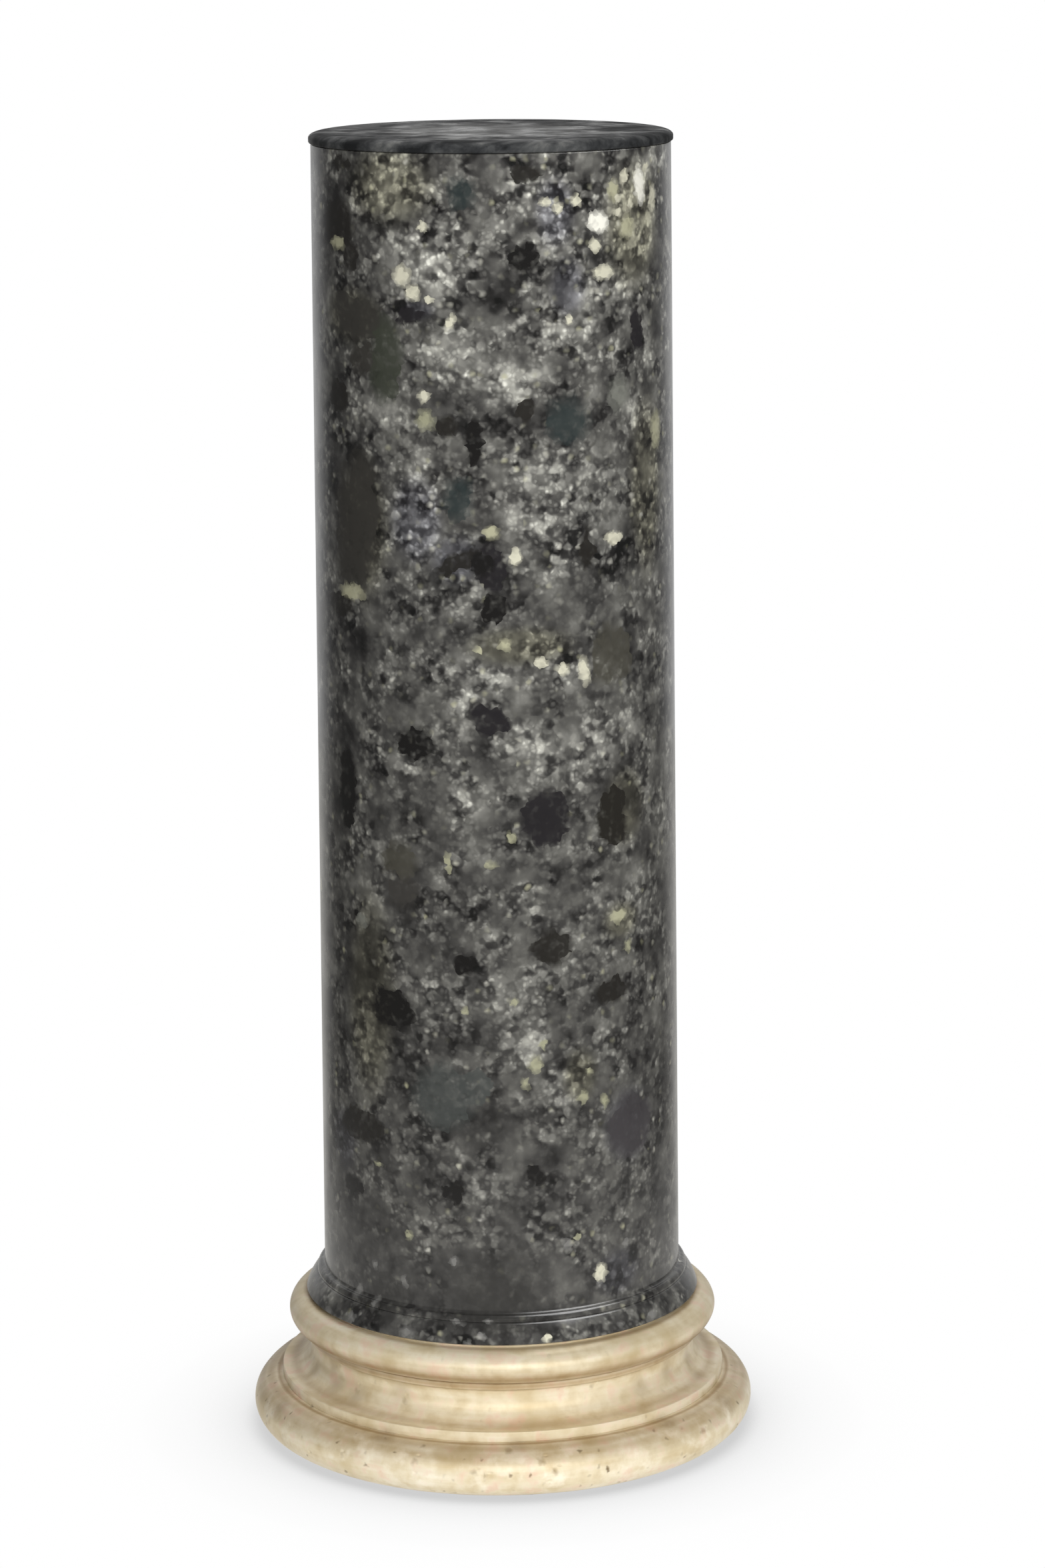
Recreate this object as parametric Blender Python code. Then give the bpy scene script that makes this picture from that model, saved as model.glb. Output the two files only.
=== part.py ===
"""A scagliola pedestal column in three turned pieces: a thin dark top disc, a tapering drum with
a flared foot, and a giltwood base of two rounds with a hollow between them.
Metres, +Z up. The origin is the middle of the underside, on the floor."""

import math

import bmesh
import bpy
from mathutils import Vector

# Driving dimensions, in metres
COLUMN_HEIGHT = 1.100
BASE_HEIGHT = 0.1184
BASE_RADIUS = 0.2140
DRUM_LOW_RADIUS = 0.1518
DRUM_TOP_RADIUS = 0.1468
FOOT_RADIUS = 0.1676
DISC_RADIUS = 0.1486
DISC_THICKNESS = 0.0088

# Touching pieces keep this gap, and points closer than the merge distance are one point
JOINT_GAP = 0.0003
MERGE_DISTANCE = 0.00005

# Each piece is turned in this many steps, and an edge sharper than this angle shows as an edge
TURN_STEPS = 80
EDGE_ANGLE = math.radians(32)

# Top disc: the upper arris is rounder than the lower one
DISC_UPPER_ROUND = 0.0030
DISC_LOWER_ROUND = 0.0016

# Drum foot: a tight hollow flare, a narrow lip, a fine groove, and a slanting band down to the joint
FLARE_HEIGHT = 0.0030
FLARE_REACH = 0.0038
LIP_HEIGHT = 0.0048
LIP_REACH = 0.0026
LIP_SWELL = 0.0004
GROOVE_HEIGHT = 0.0012
GROOVE_DEPTH = 0.0010
BAND_HEIGHT = 0.0156
BAND_TOP_REACH = 0.0006
BAND_SWELL = 0.0008
DRUM_TOP_ROUND = 0.0010

# Giltwood base, from the top down
SEAT_RADIUS = 0.1625
SEAT_HEIGHT = 0.0028
UPPER_ROUND_REACH = 0.0190
UPPER_ROUND_HEIGHT = 0.0298
UPPER_ROUND_RADIUS = 0.1827
UPPER_FILLET_RADIUS = 0.1692
UPPER_FILLET_HEIGHT = 0.0059
HOLLOW_TOP_RADIUS = 0.1674
HOLLOW_DEEPEST_RADIUS = 0.1640
HOLLOW_LOW_RADIUS = 0.1870
HOLLOW_UPPER_HEIGHT = 0.0090
LOWER_FILLET_RADIUS = 0.1893
LOWER_FILLET_HEIGHT = 0.0086
LOWER_ROUND_REACH = 0.0240
LOWER_ROUND_HEIGHT = 0.0426
LOWER_ROUND_HALF_HEIGHT = 0.0220


def curve(centre, reach, rise, start, end, steps):
    """Points of an elliptic arc in the (radius, height) plane, angles in degrees from outwards."""
    points = []
    for step in range(steps + 1):
        angle = math.radians(start + (end - start) * step / steps)
        points.append((centre[0] + reach * math.cos(angle), centre[1] + rise * math.sin(angle)))
    return points


def plain_material(name, colour, roughness, metallic=0.0):
    """A Principled material of one linear colour."""
    material = bpy.data.materials.new(name)
    material.use_nodes = True
    shader = material.node_tree.nodes["Principled BSDF"]
    shader.inputs["Base Color"].default_value = (*colour, 1.0)
    shader.inputs["Roughness"].default_value = roughness
    shader.inputs["Metallic"].default_value = metallic
    return material


def turned(name, profile, material):
    """Turns a (radius, height) outline, listed from the top of the axis to the bottom, into a solid."""
    shape = bmesh.new()
    points = [shape.verts.new((radius, 0.0, height)) for radius, height in profile]
    edges = [shape.edges.new(pair) for pair in zip(points, points[1:])]
    bmesh.ops.spin(
        shape,
        geom=points + edges,
        cent=Vector(),
        axis=Vector((0.0, 0.0, 1.0)),
        angle=2 * math.pi,
        steps=TURN_STEPS,
        use_merge=True,
    )
    bmesh.ops.remove_doubles(shape, verts=shape.verts, dist=MERGE_DISTANCE)
    bmesh.ops.recalc_face_normals(shape, faces=shape.faces)
    mesh = bpy.data.meshes.new(name)
    shape.to_mesh(mesh)
    shape.free()
    mesh.shade_smooth()
    mesh.set_sharp_from_angle(angle=EDGE_ANGLE)
    mesh.materials.append(material)
    piece = bpy.data.objects.new(name, mesh)
    bpy.context.scene.collection.objects.link(piece)
    return piece


def top_disc():
    """A flat disc with a rounded edge, lying on the drum and just wider than its top."""
    top = COLUMN_HEIGHT
    bottom = COLUMN_HEIGHT - DISC_THICKNESS
    upper_centre = (DISC_RADIUS - DISC_UPPER_ROUND, top - DISC_UPPER_ROUND)
    lower_centre = (DISC_RADIUS - DISC_LOWER_ROUND, bottom + DISC_LOWER_ROUND)
    profile = [(0.0, top)]
    profile += curve(upper_centre, DISC_UPPER_ROUND, DISC_UPPER_ROUND, 90, 0, 4)
    profile += curve(lower_centre, DISC_LOWER_ROUND, DISC_LOWER_ROUND, 0, -90, 3)
    profile += [(0.0, bottom)]
    slate = plain_material("dark_slate", (0.030, 0.030, 0.032), 0.28)
    return turned("top_disc", profile, slate)


def shaft():
    """The drum, straight and slightly tapering, one piece with the flared foot that it stands on."""
    top = COLUMN_HEIGHT - DISC_THICKNESS - JOINT_GAP
    bottom = BASE_HEIGHT + JOINT_GAP
    band_top = bottom + BAND_HEIGHT
    lip_bottom = band_top + GROOVE_HEIGHT
    lip_top = lip_bottom + LIP_HEIGHT
    flare_top = lip_top + FLARE_HEIGHT
    lip_radius = DRUM_LOW_RADIUS + FLARE_REACH
    lip_low_radius = lip_radius + LIP_REACH
    band_radius = lip_low_radius + BAND_TOP_REACH
    profile = [(0.0, top), (DRUM_TOP_RADIUS - DRUM_TOP_ROUND, top), (DRUM_TOP_RADIUS, top - DRUM_TOP_ROUND)]
    profile += curve((lip_radius, flare_top), FLARE_REACH, FLARE_HEIGHT, 180, 255, 3)
    profile += slanting_band((lip_radius, lip_top), (lip_low_radius, lip_bottom), LIP_SWELL, 2)
    profile += [(lip_low_radius - GROOVE_DEPTH, (lip_bottom + band_top) / 2)]
    profile += slanting_band((band_radius, band_top), (FOOT_RADIUS, bottom), BAND_SWELL, 3)
    profile += [(0.0, bottom)]
    scagliola = plain_material("dark_scagliola", (0.075, 0.072, 0.070), 0.22)
    return turned("shaft", profile, scagliola)


def slanting_band(top, low, most_swell, steps):
    """A band that slants outwards going down, swelling slightly between its two edges."""
    top_radius, top_height = top
    low_radius, low_height = low
    points = []
    slant = math.hypot(low_radius - top_radius, top_height - low_height)
    out_radius = (top_height - low_height) / slant
    out_height = (low_radius - top_radius) / slant
    for step in range(steps + 1):
        share = step / steps
        swell = most_swell * math.sin(math.pi * share)
        radius = top_radius + (low_radius - top_radius) * share + swell * out_radius
        height = top_height + (low_height - top_height) * share + swell * out_height
        points.append((radius, height))
    return points


def base():
    """One turned block: a seat for the drum, an upper round, a hollow between two fillets and a
    large lower round that is flat underneath."""
    round_top = BASE_HEIGHT - SEAT_HEIGHT
    upper_centre = (UPPER_ROUND_RADIUS - UPPER_ROUND_REACH, round_top - UPPER_ROUND_HEIGHT / 2)
    upper_round = curve(upper_centre, UPPER_ROUND_REACH, UPPER_ROUND_HEIGHT / 2, 90, -75, 10)
    hollow_top = upper_round[-1][1] - UPPER_FILLET_HEIGHT
    hollow_low = LOWER_ROUND_HEIGHT + LOWER_FILLET_HEIGHT
    deepest_height = hollow_top - HOLLOW_UPPER_HEIGHT
    lower_centre = (BASE_RADIUS - LOWER_ROUND_REACH, LOWER_ROUND_HEIGHT - LOWER_ROUND_HALF_HEIGHT)
    floor_angle = -math.degrees(math.asin(lower_centre[1] / LOWER_ROUND_HALF_HEIGHT))

    profile = [(0.0, BASE_HEIGHT), (SEAT_RADIUS, BASE_HEIGHT), (SEAT_RADIUS, round_top)]
    profile += upper_round
    profile += [(UPPER_FILLET_RADIUS, hollow_top)]
    profile += hollow(hollow_top, deepest_height, hollow_low)
    profile += [(LOWER_FILLET_RADIUS, hollow_low), (LOWER_FILLET_RADIUS, LOWER_ROUND_HEIGHT)]
    profile += curve(lower_centre, LOWER_ROUND_REACH, LOWER_ROUND_HALF_HEIGHT, 90, floor_angle, 11)
    profile += [(0.0, 0.0)]
    gilding = plain_material("worn_gilding", (0.62, 0.45, 0.22), 0.42, 0.7)
    return turned("base", profile, gilding)


def hollow(top, deepest, low):
    """The hollow between the rounds: a tight quarter curve in, and a wide one out to the fillet."""
    upper_reach = HOLLOW_TOP_RADIUS - HOLLOW_DEEPEST_RADIUS
    lower_reach = HOLLOW_LOW_RADIUS - HOLLOW_DEEPEST_RADIUS
    upper = curve((HOLLOW_TOP_RADIUS, deepest), upper_reach, top - deepest, 90, 180, 3)
    lower = curve((HOLLOW_LOW_RADIUS, deepest), lower_reach, deepest - low, 180, 270, 7)
    return upper + lower[1:]


def clear_scene():
    """Removes whatever objects the open file holds."""
    for thing in list(bpy.data.objects):
        bpy.data.objects.remove(thing, do_unlink=True)


def main():
    clear_scene()
    top_disc()
    shaft()
    base()


main()
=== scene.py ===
# %% [markdown]
# A scagliola pedestal column
#
# The real thing is a pedestal of three turned pieces: a thin dark disc on top, a tapering drum
# of scagliola, which is plaster coloured and polished to look like stone, and a giltwood base.
# All three are round, so all three are made as a turner makes them: an outline is drawn on one
# side of the axis and spun about it. The colours come afterwards, from nodes alone.

# %% Load the fixed frame and keep its size
import math

import bpy
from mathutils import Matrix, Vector


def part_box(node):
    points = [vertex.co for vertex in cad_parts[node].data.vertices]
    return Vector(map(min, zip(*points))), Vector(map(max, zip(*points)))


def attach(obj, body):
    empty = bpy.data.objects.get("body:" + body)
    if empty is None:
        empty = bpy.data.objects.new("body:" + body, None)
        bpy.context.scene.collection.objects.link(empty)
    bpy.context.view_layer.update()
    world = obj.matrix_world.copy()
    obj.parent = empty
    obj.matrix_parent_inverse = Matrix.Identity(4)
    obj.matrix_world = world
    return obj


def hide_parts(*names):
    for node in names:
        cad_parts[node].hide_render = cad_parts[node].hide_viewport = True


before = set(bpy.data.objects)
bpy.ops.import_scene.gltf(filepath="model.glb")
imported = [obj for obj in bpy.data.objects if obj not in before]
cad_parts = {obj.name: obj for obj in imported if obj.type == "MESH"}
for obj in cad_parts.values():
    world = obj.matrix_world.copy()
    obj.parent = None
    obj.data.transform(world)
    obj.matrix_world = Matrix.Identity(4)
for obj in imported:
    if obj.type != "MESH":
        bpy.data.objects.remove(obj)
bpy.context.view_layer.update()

# %% [markdown]
# Colours are written as sRGB hex, the way a paint chart or a picture editor gives them.
# Blender's shaders work in linear light, so one function turns each hex value to linear.
# A second small function adds a node, with its settings and its links, in one line. The sockets
# of a Mix node share their names, so they go by number: 2 and 3 take the values that it mixes,
# 4 and 5 the vectors, and 6 and 7 the colours.

# %% Two helpers: hex colours and nodes
MM = 0.001


def colour(hex_value):
    """Linear RGBA from an sRGB hex value such as "#8a7f70"."""
    parts = [int(hex_value[place:place + 2], 16) / 255 for place in (1, 3, 5)]
    linear = [part / 12.92 if part <= 0.04045 else ((part + 0.055) / 1.055) ** 2.4 for part in parts]
    return (*linear, 1.0)


SMOOTH = {"interpolation_type": "SMOOTHSTEP"}


def add_node(tree, kind, inputs=(), stops=None, **settings):
    """Adds a node. Its inputs are a dict by socket, or a list for the first sockets in order: for
    MapRange the value, then the span it comes from and the span it goes to. An input is a value,
    a socket to link from, or a node, which means its first output. Stops are the (place, hex
    colour) pairs of a colour ramp, in rising order."""
    node = tree.nodes.new("ShaderNode" + kind)
    for name, value in settings.items():
        setattr(node, name, value)
    if not isinstance(inputs, dict):
        inputs = dict(enumerate(inputs))
    for socket, value in inputs.items():
        if isinstance(value, bpy.types.Node):
            value = value.outputs[0]
        if isinstance(value, bpy.types.NodeSocket):
            tree.links.new(value, node.inputs[socket])
        else:
            node.inputs[socket].default_value = value
    if stops:
        points = node.color_ramp.elements
        points[0].position = stops[0][0]
        points[-1].position = stops[-1][0]
        for place, _ in stops[1:-1]:
            points.new(place)
        for point, (_, tint) in zip(points, stops):
            point.color = colour(tint)
    return node


print("ivory #efe9d6 in linear light:", [round(part, 3) for part in colour("#efe9d6")])

# %% [markdown]
# The picture was taken from the front, a little above the top of the column, with a long lens
# that keeps the sides of the drum nearly parallel. The camera is set up from those facts: how
# far away it stands, how high, how much it looks down, and a slight lean.

# %% Camera
CAMERA_DISTANCE = 3.618
CAMERA_HEIGHT = 1.335
LOOKS_DOWN = math.radians(12.16)
TURNED_RIGHT = math.radians(0.338)
LEAN = math.radians(-0.50)
LENS_MM = 101.2
SENSOR_MM = 36.0

camera_data = bpy.data.cameras.new("camera")
camera_data.lens = LENS_MM
camera_data.sensor_width = SENSOR_MM
camera = bpy.data.objects.new("camera", camera_data)
bpy.context.scene.collection.objects.link(camera)
camera.location = (0.0, -CAMERA_DISTANCE, CAMERA_HEIGHT)
camera.rotation_euler = (math.pi / 2 - LOOKS_DOWN, 0.0, -TURNED_RIGHT)
bpy.context.view_layer.update()
camera.rotation_euler.rotate_axis("Z", LEAN)
bpy.context.scene.camera = camera
print("camera stands", CAMERA_DISTANCE, "m away and", CAMERA_HEIGHT, "m high")

# %% [markdown]
# The studio is white below and behind, and dim to both sides, with one broad soft light in
# front, a little to the right. That is why the drum shows pale strips at its two edges, where
# it mirrors the white behind. The floor that the camera sees is plain white paper, evenly lit,
# so only the soft shade close around the base shows. An Ambient Occlusion node draws it.

# %% Studio: the paper floor
FLOOR_RADIUS = 60.0
SHADE_REACH = 0.165
DEEPEST_SHADE = 0.62


def dress(piece, name, recipe, shader="BsdfPrincipled"):
    """Gives a piece a material. Its recipe adds the nodes and returns the shader's inputs."""
    material = bpy.data.materials.new(name)
    material.use_nodes = True
    tree = material.node_tree
    tree.nodes.clear()
    surface = add_node(tree, shader, recipe(tree))
    add_node(tree, "OutputMaterial", {"Surface": surface})
    piece.data.materials.append(material)
    print(name, "uses", len(tree.nodes), "nodes")


def add_disc(name, radius, height):
    """A flat round stage piece."""
    bpy.ops.object.select_all(action="DESELECT")
    bpy.ops.mesh.primitive_circle_add(vertices=128, radius=radius, fill_type="NGON", location=(0, 0, height))
    disc = bpy.context.object
    disc.name = name
    return disc


def white_paper(tree):
    """Evenly lit paper, shaded only where something stands close."""
    openness = add_node(tree, "AmbientOcclusion", {"Distance": SHADE_REACH}, samples=8)
    lit = add_node(tree, "MapRange", [openness.outputs["AO"], 0.40, 0.94, DEEPEST_SHADE])
    return {"Strength": lit}


floor = add_disc("floor", FLOOR_RADIUS, -0.0004)
dress(floor, "white_paper_floor", white_paper, "Emission")
floor.visible_diffuse = False
floor.visible_glossy = False
floor.visible_shadow = False

# %% [markdown]
# A second disc, which the camera doesn't see, throws the floor's light back onto the column,
# strongest close by and behind, as a lit sweep of paper does.

# %% Studio: the light that the floor throws back
BOUNCE_RADIUS = 3.0
BRIGHT_WITHIN = 0.30
FADED_BEYOND = 1.3
WHITE_WITHIN = math.radians(26)
DIM_BEYOND = math.radians(58)
WHITE_LEVEL = 0.68
DIM_LEVEL = 0.10


def white_behind(tree, direction):
    """How bright the sweep is in a direction: white behind the column, dim to both sides."""
    axes = add_node(tree, "SeparateXYZ", [direction])
    around = add_node(tree, "Math", [axes.outputs["X"], axes.outputs["Y"]], operation="ARCTAN2")
    turned = add_node(tree, "Math", [around], operation="ABSOLUTE")
    return add_node(tree, "MapRange", [turned, WHITE_WITHIN, DIM_BEYOND, WHITE_LEVEL, DIM_LEVEL], **SMOOTH)


def bounced_light(tree):
    """Bright close to the column, and behind it as bright as the sweep."""
    place = add_node(tree, "TexCoord").outputs["Object"]
    reach = add_node(tree, "VectorMath", [place], operation="LENGTH").outputs["Value"]
    fade = add_node(tree, "MapRange", [reach, BRIGHT_WITHIN, FADED_BEYOND, 0.8, 0.08], **SMOOTH)
    brighter = add_node(tree, "Math", [fade, white_behind(tree, place)], operation="MAXIMUM")
    return {"Color": colour("#fffdf8"), "Strength": brighter}


bounce = add_disc("bounce", BOUNCE_RADIUS, -0.0010)
dress(bounce, "bounced_floor_light", bounced_light, "Emission")
bounce.visible_camera = False
bounce.visible_shadow = False

# %% [markdown]
# The soft lamp hangs in front, a little to the right and a little above the camera. A polished
# drum would mirror it as a bright patch, and the real one shows none, so the lamp is switched
# off for reflections.

# %% Studio: the soft lamp and the white sweep behind


def add_softbox(name, azimuth, distance, height, width, tall, power, aim_height):
    """A soft lamp at an azimuth counted from the camera's side, positive to the right."""
    lamp_data = bpy.data.lights.new(name, "AREA")
    lamp_data.shape = "RECTANGLE"
    lamp_data.size = width
    lamp_data.size_y = tall
    lamp_data.energy = power
    lamp = bpy.data.objects.new(name, lamp_data)
    bpy.context.scene.collection.objects.link(lamp)
    turn = math.radians(azimuth)
    lamp.location = (distance * math.sin(turn), -distance * math.cos(turn), height)
    drop = math.atan2(height - aim_height, distance)
    lamp.rotation_euler = (math.pi / 2 - drop, 0.0, turn)
    print(name, "stands", distance, "m away at", azimuth, "degrees")
    return lamp


front = add_softbox(
    "front_softbox", azimuth=11, distance=4.5, height=2.15, width=2.7, tall=2.2, power=265, aim_height=0.5
)
front.visible_glossy = False
front.visible_camera = False

# The world is white for the camera. The column sees it white behind, dim at the sides and in front.
world = bpy.data.worlds.new("studio")
bpy.context.scene.world = world
world.use_nodes = True
sky = world.node_tree
sky.nodes.clear()
level = white_behind(sky, add_node(sky, "TexCoord").outputs["Generated"])
lighting = add_node(sky, "Background", {"Color": colour("#ffffff"), "Strength": level})
seen = add_node(sky, "Background", {"Color": colour("#ffffff"), "Strength": 1.0})
by_camera = add_node(sky, "LightPath").outputs["Is Camera Ray"]
choice = add_node(sky, "MixShader", [by_camera, lighting, seen])
add_node(sky, "OutputWorld", {"Surface": choice})
bpy.context.scene.view_settings.view_transform = "Standard"

# %% [markdown]
# Turning. On a lathe the wood or plaster spins and a still tool cuts one outline into it all
# round. Here the outline is drawn a point at a time, by extruding a single vertex, and then the
# spin operator carries it round the axis. A Screw modifier could do the same, but spinning in
# edit mode leaves plain faces that can be worked on afterwards.

# %% The lathe
ROUND_STEPS = 288
SAME_POINT = 0.00001
CREASE_ANGLE = math.radians(35)


def curve(centre, reach, rise, start, end, steps):
    """Points of an elliptic arc in the (radius, height) plane, angles in degrees from outwards."""
    points = []
    for step in range(steps + 1):
        angle = math.radians(start + (end - start) * step / steps)
        points.append((centre[0] + reach * math.cos(angle), centre[1] + rise * math.sin(angle)))
    return points


def straight(start, end, spacing):
    """Points from start to end, both included, no further apart than spacing."""
    parts = math.ceil(math.dist(start, end) / spacing)
    return [tuple(a + (b - a) * part / parts for a, b in zip(start, end)) for part in range(parts + 1)]


def turn_on_lathe(name, outline):
    """Spins a (radius, height) outline, listed from the top of the axis down to its foot."""
    bpy.ops.object.select_all(action="DESELECT")
    bpy.ops.mesh.primitive_plane_add(size=0.01, location=(0, 0, 0))
    piece = bpy.context.object
    piece.name = name
    piece.data.name = name
    bpy.ops.object.mode_set(mode="EDIT")
    bpy.ops.mesh.select_all(action="SELECT")
    bpy.ops.mesh.merge(type="CENTER")
    bpy.ops.transform.translate(value=(outline[0][0], 0, outline[0][1]))
    for (radius, height), (next_radius, next_height) in zip(outline, outline[1:]):
        move = (next_radius - radius, 0, next_height - height)
        bpy.ops.mesh.extrude_region_move(TRANSFORM_OT_translate={"value": move})
    bpy.ops.mesh.select_all(action="SELECT")
    bpy.ops.mesh.spin(steps=ROUND_STEPS, angle=2 * math.pi, center=(0, 0, 0), axis=(0, 0, 1))
    bpy.ops.mesh.select_all(action="SELECT")
    bpy.ops.mesh.remove_doubles(threshold=SAME_POINT)
    bpy.ops.mesh.normals_make_consistent(inside=False)
    bpy.ops.object.mode_set(mode="OBJECT")
    bpy.ops.object.shade_smooth_by_angle(angle=CREASE_ANGLE)
    print(name, "has", len(piece.data.polygons), "faces from", len(outline), "points")
    return piece


# %% [markdown]
# The base. A turner cut it from a block of wood, from the top down: a seat for the drum, a
# round, a fillet, a hollow, a second fillet and the large lower round, which stands on the
# floor. The sizes are those of the frame's node, with more points on each curve.

# %% Turn the base
BASE_RADIUS = 0.2140
BASE_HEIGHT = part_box("base")[1][2]
SEAT_RADIUS = 0.1625
SEAT_HEIGHT = 0.0028
UPPER_ROUND_RADIUS = 0.1827
UPPER_ROUND_REACH = 0.0190
UPPER_ROUND_HEIGHT = 0.0298
UPPER_FILLET_RADIUS = 0.1692
UPPER_FILLET_HEIGHT = 0.0059
HOLLOW_TOP_RADIUS = 0.1674
HOLLOW_DEEPEST_RADIUS = 0.1640
HOLLOW_LOW_RADIUS = 0.1870
HOLLOW_UPPER_HEIGHT = 0.0090
LOWER_FILLET_RADIUS = 0.1893
LOWER_FILLET_HEIGHT = 0.0086
LOWER_ROUND_REACH = 0.0240
LOWER_ROUND_HEIGHT = 0.0426
LOWER_ROUND_HALF_HEIGHT = 0.0220
ARRIS = 0.0007

ROUND_TOP = BASE_HEIGHT - SEAT_HEIGHT
UPPER_ROUND_CENTRE = (UPPER_ROUND_RADIUS - UPPER_ROUND_REACH, ROUND_TOP - UPPER_ROUND_HEIGHT / 2)
UPPER_ROUND = curve(UPPER_ROUND_CENTRE, UPPER_ROUND_REACH, UPPER_ROUND_HEIGHT / 2, 90, -75, 40)
HOLLOW_TOP = UPPER_ROUND[-1][1] - UPPER_FILLET_HEIGHT
HOLLOW_LOW = LOWER_ROUND_HEIGHT + LOWER_FILLET_HEIGHT


def base_outline():
    """The base's outline, with each fillet's edges a little worn."""
    deepest = HOLLOW_TOP - HOLLOW_UPPER_HEIGHT
    upper_reach = HOLLOW_TOP_RADIUS - HOLLOW_DEEPEST_RADIUS
    lower_reach = HOLLOW_LOW_RADIUS - HOLLOW_DEEPEST_RADIUS
    lower_centre = (BASE_RADIUS - LOWER_ROUND_REACH, LOWER_ROUND_HEIGHT - LOWER_ROUND_HALF_HEIGHT)
    floor_angle = -math.degrees(math.asin(lower_centre[1] / LOWER_ROUND_HALF_HEIGHT))
    fillet_inset = LOWER_FILLET_RADIUS - ARRIS
    points = [(0.0, BASE_HEIGHT), (SEAT_RADIUS - ARRIS, BASE_HEIGHT)]
    points += curve((SEAT_RADIUS - ARRIS, BASE_HEIGHT - ARRIS), ARRIS, ARRIS, 90, 0, 3)[1:]
    points += [(SEAT_RADIUS, ROUND_TOP)]
    points += UPPER_ROUND
    points += [(UPPER_FILLET_RADIUS, UPPER_ROUND[-1][1] - ARRIS)]
    points += curve((UPPER_FILLET_RADIUS - ARRIS, HOLLOW_TOP + ARRIS), ARRIS, ARRIS, 0, -90, 3)
    points += curve((HOLLOW_TOP_RADIUS, deepest), upper_reach, HOLLOW_TOP - deepest, 90, 180, 10)
    points += curve((HOLLOW_LOW_RADIUS, deepest), lower_reach, deepest - HOLLOW_LOW, 180, 270, 26)[1:]
    points += curve((fillet_inset, HOLLOW_LOW - ARRIS), ARRIS, ARRIS, 90, 0, 3)
    points += curve((fillet_inset, LOWER_ROUND_HEIGHT + ARRIS), ARRIS, ARRIS, 0, -90, 3)
    points += curve(lower_centre, LOWER_ROUND_REACH, LOWER_ROUND_HALF_HEIGHT, 88, floor_angle, 56)
    points += [(0.0, 0.0)]
    return points


base = turn_on_lathe("gilt_base", base_outline())

# %% [markdown]
# Gilding has a broad soft sheen where it faces between the lamp and the eye. The soft lamp in
# front is hidden from reflections for the drum's sake, so a wider and weaker one at the same
# height gives the base its sheen. Light linking lets it light the base alone.

# %% Studio: the sheen on the gilding


def mirror_only_in(lamp, piece):
    """Lets a lamp show only as a reflection, and only in one piece."""
    lamp.visible_diffuse = False
    lamp.visible_camera = False
    receivers = bpy.data.collections.new(lamp.name + "_receivers")
    receivers.objects.link(piece)
    lamp.light_linking.receiver_collection = receivers
    print("the", lamp.name, "shows only in", piece.name)


sheen = add_softbox(
    "sheen_softbox", azimuth=2, distance=4.5, height=2.15, width=12.0, tall=2.2, power=140, aim_height=0.5
)
mirror_only_in(sheen, base)

# %% [markdown]
# The drum. Scagliola is laid over a drum as coloured plaster, cut true with a template and
# polished, so the outline is crisp: straight sides that taper a little, a tight flare at the
# foot, a narrow lip, a fine groove, and a band that slants out to the joint.

# %% Turn the drum and its foot
shaft_low, shaft_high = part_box("shaft")
DRUM_LOW_RADIUS = 0.1518
DRUM_TOP_RADIUS = 0.1468
FOOT_RADIUS = shaft_high[0]
FLARE_HEIGHT = 0.0030
FLARE_REACH = 0.0038
LIP_HEIGHT = 0.0048
LIP_REACH = 0.0026
LIP_SWELL = 0.0007
GROOVE_HEIGHT = 0.0012
GROOVE_DEPTH = 0.0010
BAND_HEIGHT = 0.0156
BAND_TOP_REACH = 0.0006
BAND_SWELL = 0.0008
FOOT_ARRIS = 0.0004
DRUM_TOP_ROUND = 0.0010
SIDE_SPACING = 0.02


def slanting_band(top, low, most_swell, steps):
    """A band that slants outwards going down, swelling slightly between its two edges."""
    top, low = Vector(top), Vector(low)
    outwards = Vector((top.y - low.y, low.x - top.x)).normalized()
    points = []
    for step in range(steps + 1):
        share = step / steps
        swell = most_swell * math.sin(math.pi * share)
        points.append(tuple(top.lerp(low, share) + outwards * swell))
    return points


def shaft_outline():
    """The drum's outline from the middle of its top to the middle of its underside."""
    top = shaft_high[2]
    bottom = shaft_low[2]
    band_top = bottom + BAND_HEIGHT
    lip_bottom = band_top + GROOVE_HEIGHT
    lip_top = lip_bottom + LIP_HEIGHT
    flare_top = lip_top + FLARE_HEIGHT
    lip_radius = DRUM_LOW_RADIUS + FLARE_REACH
    lip_low_radius = lip_radius + LIP_REACH
    band_radius = lip_low_radius + BAND_TOP_REACH
    side_top = (DRUM_TOP_RADIUS, top - DRUM_TOP_ROUND)
    arris_centre = (DRUM_TOP_RADIUS - DRUM_TOP_ROUND, top - DRUM_TOP_ROUND)
    points = [(0.0, top)]
    points += curve(arris_centre, DRUM_TOP_ROUND, DRUM_TOP_ROUND, 90, 0, 3)
    points += straight(side_top, (DRUM_LOW_RADIUS, flare_top), SIDE_SPACING)[1:-1]
    points += curve((lip_radius, flare_top), FLARE_REACH, FLARE_HEIGHT, 180, 255, 10)
    points += slanting_band((lip_radius, lip_top), (lip_low_radius, lip_bottom), LIP_SWELL, 10)
    points += [(lip_low_radius - GROOVE_DEPTH, (lip_bottom + band_top) / 2)]
    points += slanting_band((band_radius, band_top), (FOOT_RADIUS, bottom + FOOT_ARRIS), BAND_SWELL, 14)
    points += [(FOOT_RADIUS - FOOT_ARRIS, bottom), (0.0, bottom)]
    return points


shaft = turn_on_lathe("scagliola_shaft", shaft_outline())

# %% [markdown]
# The polished lip of the foot catches one thin glint to the right of its middle. A lamp high on
# the right, which shows in the shaft alone, leaves it there.

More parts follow.
